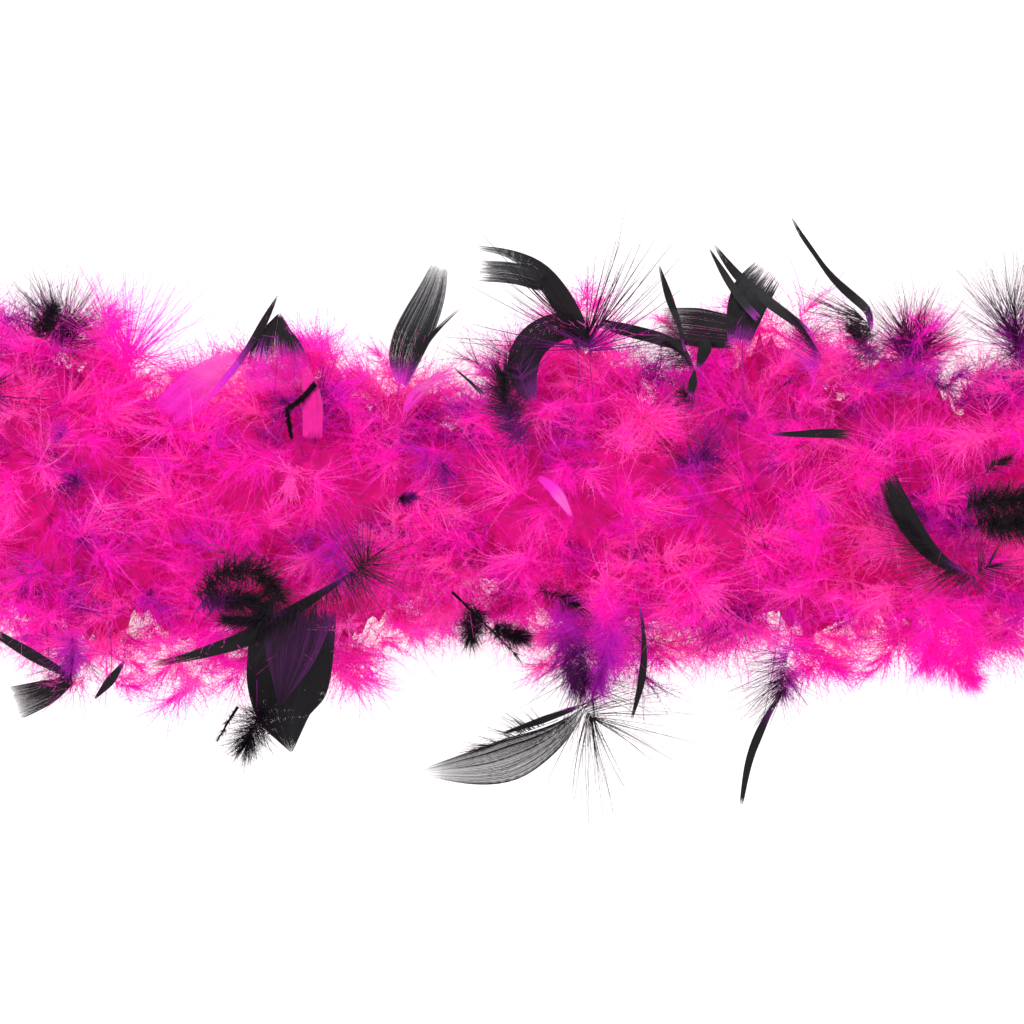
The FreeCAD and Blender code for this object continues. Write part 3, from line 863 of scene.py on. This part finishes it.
# Each feather's vanes: middle line from base to end and widths, in millimetres, then looks.
VANES = {
    "pink_flat_feather_left": [
        (
            ((-150, 34), (-139, 45), (-127, 55), (-116, 60)),
            (15, 17, 15, 5),
            PINK_VANE,
        ),
        (
            ((-133, 40), (-121, 54), (-111, 69), (-102, 87)),
            (1, 3, 2.4, 3.6, 0.6),
            {**SOLID, "tints": ((0.0, PINK), (0.35, VIOLET), (0.6, BLACK), (1.0, BLACK))},
        ),
    ],
    "black_corner_feather": [
        (
            ((-100, 44), (-102, 58), (-102.5, 69), (-101.5, 79)),
            (28, 28, 20, 1),
            {
                "tints": ((0.0, PINK), (0.35, VIOLET), (0.5, PURPLE), (0.65, BLACK), (1.0, BLACK)),
                "cover": ((0.0, 0.25), (0.4, 0.35), (0.62, 1.3), (0.8, 2.2), (1.0, 3.0)),
                "gaps": 0.2,
                "strand": 0.25,
                "ragged": 0.09,
            },
        ),
        (
            ((-86, 24), (-86, 42), (-90, 56)),
            (8, 9, 3),
            {**PINK_VANE, "tints": ((0.0, CRIMSON), (1.0, CRIMSON)), "edge": 0.3},
        ),
    ],
    "tall_charcoal_feather": [
        (
            ((-48, 45), (-47, 62), (-40, 77), (-35, 88), (-31.5, 100)),
            (1, 13, 17, 14, 7.5),
            {**CHARCOAL, "fray": 0.03},
        ),
        (
            ((-47, 45), (-39, 66), (-21, 83)),
            (1.5, 2.4, 0.5),
            {"tints": ((0.0, VIOLET), (0.4, BLACK), (1.0, BLACK)), "fray": 0.3},
        ),
    ],
    "pink_fan_cut_feather": [
        (
            ((-47, 35), (-42, 44), (-36, 48), (-24, 53)),
            (1.5, 6, 5, 8),
            {**PINK_VANE, "gaps": 0.6, "fray": 0.12},
        ),
        (((-12, 43), (-18, 49), (-25, 55)), (1.5, 1.3, 0.4), SOLID),
    ],
    "high_black_arc_feather": [
        (
            ((32, 62), (28, 74), (21, 86), (12, 99), (-1, 106), (-15, 108)),
            (7, 8.5, 10.5, 9, 4, 2.5),
            {**SOLID, "tints": BLACKENED, "twist": 0.7, "fray": 0.08},
        ),
        (
            ((15, 92), (1, 97), (-15, 97.5)),
            (8, 9, 9),
            {**GREY_VANE, "tints": ((0.0, BLACK), (0.4, BLACK + 0.08), (1.0, GREY)), "fray": 0.2},
        ),
    ],
    "low_black_arc_feather": [
        (
            ((9, 40), (4, 52), (6, 63), (14, 71), (25, 74), (34, 72)),
            (4, 12, 14, 14, 12, 8),
            {
                "tints": ((0.0, PURPLE), (0.3, BLACK - 0.04), (1.0, BLACK)),
                "cover": ((0.0, 1.8), (0.5, 1.8), (0.8, 1.2), (1.0, 0.5)),
                "edge": 0.8,
            },
        ),
        (((11, 8), (19, 2), (26, -10)), (2, 6, 1), {**PINK_VANE, "edge": 0.6}),
    ],
    "rolled_black_feather": [
        (
            ((79, 53), (75, 62), (69, 67), (54, 71), (38, 75)),
            (1.2, 3.5, 5.5, 6, 4.5),
            {**SOLID, "twist": 0.6},
        ),
    ],
    "thin_black_blade_upper": [
        (((75, 62), (73, 74), (69, 84), (64, 100)), (0.8, 1.8, 3.6, 0.7), SOLID),
        (((80, 54), (82, 59), (84, 64), (83, 68)), (1, 4, 6, 3), SOLID),
        (((77, 42), (78, 48), (79, 54)), (1.5, 4, 0.8), SOLID),
    ],
    "grey_square_feather": [
        (
            ((97, 70), (86, 72), (64, 75)),
            (14, 17, 13),
            {**GREY_VANE, "tints": BLACKENED},
        ),
    ],
    "frayed_black_feather": [
        (
            ((98, 64), (100, 76), (104, 88), (112, 98)),
            (9, 15, 18, 14),
            {**GREY_VANE, "cover": ((0.0, 1.0), (0.4, 1.6), (1.0, 1.3)), "fray": 0.2},
        ),
    ],
    "shouldered_black_feather": [
        (
            ((130, 46), (132, 60), (129, 71), (119, 78), (110, 85), (98, 95), (88, 109)),
            (0.8, 1.2, 3, 4.5, 4.5, 4, 1),
            {
                **SOLID,
                "tints": ((0.0, PINK), (0.3, PINK), (0.42, BLACK), (1.0, BLACK)),
            },
        ),
        (((107, 76), (100, 84), (94, 93), (86, 107)), (3, 3.6, 3, 0.6), SOLID),
    ],
    "black_blade_on_top": [
        (
            ((110, 26), (122, 26), (134, 26.5), (146, 26)),
            (0.8, 2.4, 3.8, 4),
            {**SOLID, "fray": 0.2},
        ),
    ],
    "tall_black_spike_feather": [
        (
            ((156, 70), (156, 80), (149, 86), (139, 95), (130, 108), (125, 115), (122, 121)),
            (1.2, 3.4, 4.2, 3.2, 1.6, 2.4, 0.6),
            SOLID,
        ),
    ],
    "grey_vane_lower_left": [
        (
            ((-190, -80), (-202, -86), (-217, -91)),
            (2, 11, 15),
            {**GREY_VANE, "tints": BLACKENED, "fray": 0.06},
        ),
        (((-190, -80), (-208, -70), (-226, -59)), (2, 5, 3), {**SOLID, "fray": 0.15}),
    ],
    "short_black_blade_lower_left": [
        (((-168, -72), (-174, -80), (-182, -89)), (1, 4.2, 0.8), SOLID),
    ],
    "long_black_feather_lower": [
        (
            ((-66, -32), (-94, -50), (-113, -62), (-135, -69), (-157, -74)),
            (1, 4, 8, 5, 2),
            {**SOLID, "fray": 0.25},
        ),
    ],
    "big_black_flat_feather": [
        (
            ((-94, -48), (-97, -78), (-100, -93), (-98, -103), (-96, -112)),
            (36, 37, 37, 36, 22, 1),
            {**SOLID, "tints": ((0.0, PURPLE), (0.3, BLACK), (1.0, BLACK + 0.04))},
        ),
        (
            ((-92, -48), (-96, -70), (-101, -92)),
            (32, 22, 1),
            {
                "tints": ((0.0, PURPLE + 0.06), (0.5, PURPLE + 0.11), (1.0, BLACK - 0.04)),
                "cover": ((0.0, 0.7), (1.0, 1.2)),
                "gaps": 0.4,
                "strand": 0.3,
                "cup": -0.1,
            },
        ),
    ],
    "big_grey_arc_feather": [
        (
            ((31, -94), (20, -105), (4, -114), (-12, -119), (-39, -121)),
            (2, 12, 20, 14, 3),
            {
                **GREY_VANE,
                "tints": BLACKENED,
                "cover": ((0.0, 1.2), (0.5, 0.95), (1.0, 0.85)),
                "fray": 0.12,
                "gaps": 0.1,
                "strand": 0.2,
            },
        ),
        (((30, -92), (14, -98), (-4, -104)), (1.5, 3, 1), SOLID),
    ],
    "long_black_blade_lower": [
        (((55, -46), (57.5, -62), (57, -80), (52, -98)), (0.8, 1.8, 3.4, 0.8), SOLID),
    ],
    "hanging_black_sprig": [
        (((115, -90), (109, -101), (103, -116), (100, -135)), (1.5, 3.8, 3, 1.6), SOLID),
    ],
    "broad_black_feather_on_top": [
        (
            ((197, -34), (186, -30), (176, -20), (167, -5), (162, 8)),
            (2, 6, 9, 10.5, 9),
            {**SOLID, "twist": 0.5},
        ),
    ],
}
THICK_DOWN = {**DOWNY, "fine": 0.35}
ONE_SIDED = {"side": 1, "spread": 80, "first": 0.0, "fine": 0.22}
LEFTWARD = {"spread": 80, "side": -0.3, "flat": 0.7, "curl": 0.2, "fine": 0.24}
LONG_WISPS = {"spread": 75, "curl": 0.08, "fine": 0.55, "barbules": 3}
CATERPILLAR = {**DOWNY, "barbule": 1, "shaft_width": 2.6}
BALL = ((-136, -44), (-124, -34), (-110, -32), (-101, -42), (-108, -54), (-122, -54))
# Each feather's wisps: the shaft they leave, barbs, longest barb, base tint, then looks.
COMBS = {
    "high_black_arc_feather": [
        (((4, 22), (-2, 36), (-4, 52)), 420, 14, PURPLE, BLACK, THICK_DOWN),
        (((6, 44), (2, 56), (-1, 62)), 60, 22, PURPLE, BLACK, {}),
    ],
    "rolled_black_feather": [
        (((80, 50), (76, 60), (66, 68)), 70, 22, BLACK, BLACK, {"side": 1, "spread": 50}),
    ],
    "shouldered_black_feather": [
        (((129, 46), (134, 60), (126, 73)), 90, 18, PINK, BLACK, {"side": 1, "spread": 70}),
    ],
    "tall_black_spike_feather": [
        (((156, 66), (155, 74), (150, 80)), 60, 36, BLACK, BLACK, {"side": 1, "spread": 55}),
        (((157, 58), (153, 66), (148, 73)), 260, 10, PURPLE, BLACK, DOWNY),
    ],
    "thin_black_blade_upper": [
        (((80, 36), (77, 40), (73, 44)), 60, 10, PURPLE, BLACK, {}),
    ],
    "long_black_feather_lower": [
        (((-64, -30), (-84, -43), (-108, -58)), 260, 28, BLACK, BLACK, ONE_SIDED),
        (((-70, -36), (-65, -32), (-62, -28)), 90, 30, BLACK, BLACK, {"spread": 120}),
        (BALL, 900, 11, BLACK, BLACK, THICK_DOWN),
        (((-134, -46), (-124, -46), (-112, -46)), 420, 10, PURPLE, BLACK, THICK_DOWN),
    ],
    "big_grey_arc_feather": [
        (((29, -90), (32, -94), (36, -98)), 100, 48, BLACK, BLACK, {"spread": 85}),
        (((20, -98), (4, -104), (-14, -111)), 70, 15, BLACK, BLACK, {"side": -1}),
    ],
    "hanging_black_sprig": [
        (((121, -60), (119, -74), (117, -88)), 190, 28, VIOLET, BLACK, LEFTWARD),
        (((122, -76), (120, -82), (118, -86)), 200, 10, PINK, VIOLET, DOWNY),
    ],
    "broad_black_feather_on_top": [
        (((200, -36), (186, -30), (172, -12)), 190, 30, BLACK, BLACK, ONE_SIDED),
        (((190, -40), (198, -36), (206, -30)), 80, 22, PURPLE, BLACK, {"spread": 110}),
        (((196, -3), (208, -3), (230, -2)), 620, 12, BLACK, BLACK, THICK_DOWN),
        (((200, -11), (212, -13), (230, -12)), 620, 12, BLACK, BLACK, THICK_DOWN),
        (((202, 8), (208, 13), (214, 15)), 60, 8, BLACK, BLACK, {}),
    ],
    "grey_vane_lower_left": [
        (((-188, -60), (-189, -70), (-192, -80)), 150, 26, VIOLET, BLACK, LEFTWARD),
        (((-190, -58), (-190, -66), (-191, -74)), 260, 10, PINK, VIOLET, DOWNY),
    ],
    "curled_black_feather": [
        (((-85, 48), (-91, 41), (-97, 37), (-95, 25)), 420, 2.4, BLACK, BLACK, CATERPILLAR),
        (((-49, -2), (-46, -2), (-43, -1)), 120, 5, BLACK, PURPLE, DOWNY),
    ],
    "small_black_down_feather": [
        (((-26, -42), (-12, -56), (3, -71)), 60, 6, BLACK, BLACK, {"shaft_width": 1.3}),
        (((-15, -50), (-17, -57), (-18, -62)), 420, 10, BLACK, BLACK, DOWNY),
        (((-8, -58), (-1, -61), (5, -62)), 420, 8, BLACK, BLACK, DOWNY),
        (((12, -40), (18, -43), (28, -47)), 160, 10, BLACK, BLACK, DOWNY),
    ],
    "pink_down_plume_left": [
        (((-178, -8), (-177, -6), (-176, -4)), 18, 12, PALE, PALE, {"spread": 130}),
    ],
    "grey_down_plume_middle": [
        (((34, 60), (33, 65), (32, 70)), 76, 60, PURPLE, BLACK, LONG_WISPS),
    ],
    "grey_down_plume_left": [
        (((-232, 38), (-228, 42), (-225, 47)), 90, 34, VIOLET, BLACK, {"spread": 100}),
        (((-205, 68), (-202, 74), (-199, 80)), 240, 9, BLACK, BLACK, DOWNY),
    ],
    "black_down_tail_lower": [
        (((-106, -92), (-111, -100), (-115, -108)), 520, 14, BLACK, BLACK, DOWNY),
        (((-119, -92), (-124, -100), (-128, -107)), 30, 3, BLACK, BLACK, {"shaft_width": 1.4}),
    ],
    "dark_down_clump_lower": [
        (((24, -44), (22, -62), (28, -84)), 620, 15, VIOLET - 0.05, PURPLE, DOWNY),
        (((38, -42), (43, -60), (38, -82)), 620, 15, PINK, VIOLET + 0.06, DOWNY),
        (((27, -50), (28, -66), (32, -82)), 300, 14, VIOLET, BLACK - 0.06, DOWNY),
        (((20, -60), (28, -72), (36, -88)), 70, 34, PURPLE, BLACK, {"spread": 100}),
    ],
    "pink_down_clump_lower": [
        (((186, -44), (183, -60), (180, -74)), 520, 14, PINK, PINK, DOWNY),
        (((196, -44), (197, -62), (199, -80)), 520, 14, PINK, PINK, DOWNY),
        (((180, -66), (190, -74), (200, -80)), 520, 13, PINK, PINK, DOWNY),
    ],
}
FAN = dict(
    first=0.0, flat=0.6, spread=60, curl=0.13, fine=0.28, segments=7,
    barbules=9, barbule=1.3, fuzz_until=0.4,
)
TUFTS = {
    # node: share of the way out where it starts, feathers, barbs, longest barb, tints
    "grey_down_plume_left": (0.62, 9, 50, 31, PURPLE, BLACK),
    "pink_down_plume_left": (0.6, 9, 26, 50, PINK, PINK),
    "grey_down_plume_right": (0.62, 9, 34, 31, VIOLET, BLACK),
    "grey_down_plume_far_right": (0.6, 9, 42, 36, VIOLET, BLACK),
}

# Millimetres from the down's surface up to a vane, and up to the wisps, that lie on it.
CLEARANCE, WISP_CLEARANCE = 13, 17
VANE_STEP = 2.5 * MM
RAISED = 0.3  # of the way from there up to the CAD feather, where that is higher
for node in sorted({*VANES, *COMBS, *TUFTS}):
    root, bend, tip, _ = cad_spine(node)
    line = spine_points(root, bend, tip)
    fibres = Fibres()
    for level, (points, widths, looks) in enumerate(VANES.get(node, ())):
        paddle(fibres, placed(points, CLEARANCE, line, level), widths, **looks)
    held = VANES.get(node) or COMBS.get(node)
    if held:
        quill_end = placed(held[0][0][:2], CLEARANCE, line)
        quill = spine_points(root, (root + quill_end[0]) / 2, quill_end[1], 10)
        shaft(fibres, quill, 0.8 * MM, np.linspace(PINK, PURPLE, 10))
        skirt = {"tint_from": PINK, "tint_to": PINK + 0.1, "reach": 13}
        tuft(fibres, quill[2], quill[5], 5, barbs=60, shafts=(0.5, 0.9), **DOWNY, **skirt)
    for points, barbs, reach, base_tint, tip_tint, looks in COMBS.get(node, ()):
        plume(
            fibres,
            placed(points, WISP_CLEARANCE, line),
            barbs,
            reach,
            base_tint,
            tip_tint,
            **{**WISPS, **looks},
        )
    if node in TUFTS:
        share, plumes, barbs, reach, base_tint, tip_tint = TUFTS[node]
        tuft_root, _ = at_shares(line, np.array([share]))
        tints = {"tint_from": base_tint, "tint_to": tip_tint}
        tuft(fibres, tuft_root[0], tip, plumes, barbs=barbs, reach=reach, **FAN, **tints)
        tints = {"tint_from": PINK, "tint_to": min(base_tint, VIOLET)}
        tuft(fibres, line[len(line) // 3], tuft_root[0], 9, reach=14, **DOWNY, **tints)
    material = vane_material if node in VANES else down_material
    fibres.make(node + "_barbs", material, [node])

for node in sorted(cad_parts):
    if node.startswith("coil_black_feather"):
        root, bend, tip, normal = cad_spine(node)
        fibres = Fibres()
        line = spine_points(root, bend, tip)
        paddle(fibres, line[10:], (2, 15, 17, 10), normal=normal, **CHARCOAL)
        shaft(fibres, line[:14], 0.8 * MM, np.linspace(PINK, VIOLET, 14))
        plume(fibres, line[:14], 70, 24, PINK, PURPLE, flat=0.4, shaft_width=0)
        fibres.make(node + "_vane", vane_material, [node])

# ------------------------------------------------------------------ floor and light

FLOOR_SIZE = 12.0
FLOOR_GREY, FLOOR_GLOW = 0.4, 0.75
WORLD_STRENGTH = 1.3
floor_mesh = bpy.data.meshes.new("floor")
half = FLOOR_SIZE / 2
floor_mesh.from_pydata(
    [(-half, -half, 0), (half, -half, 0), (half, half, 0), (-half, half, 0)],
    [],
    [(0, 1, 2, 3)],
)
floor = new_object("floor", floor_mesh)
floor_material = bpy.data.materials.new("pale_floor")
floor_material.use_nodes = True
WHITE = (1, 1, 1, 1)
set_inputs(
    floor_material.node_tree.nodes["Principled BSDF"],
    {
        "Base Color": (FLOOR_GREY, FLOOR_GREY, FLOOR_GREY, 1),
        "Roughness": 0.9,
        "Specular IOR Level": 0.1,
        "Emission Color": WHITE,
        "Emission Strength": FLOOR_GLOW,
    },
)
floor_mesh.materials.append(floor_material)

world = bpy.data.worlds.new("studio")
world.use_nodes = True
backdrop = world.node_tree.nodes["Background"]
set_inputs(backdrop, {"Color": WHITE, "Strength": WORLD_STRENGTH})
bpy.context.scene.world = world


def soft_light(name, location, size, power):
    light = bpy.data.lights.new(name, "AREA")
    light.shape = "DISK"
    light.size = size
    light.energy = power
    lamp = new_object(name, light)
    lamp.location = location
    lamp.rotation_euler = Vector(location).to_track_quat("Z", "Y").to_euler()


soft_light("key_light", (-0.9, 1.1, 1.7), 0.9, 20)
soft_light("fill_light", (1.4, -1.2, 1.8), 1.2, 8)
bpy.context.scene.view_settings.view_transform = "Standard"

# ------------------------------------------------------------------ the end

bpy.context.view_layer.update()
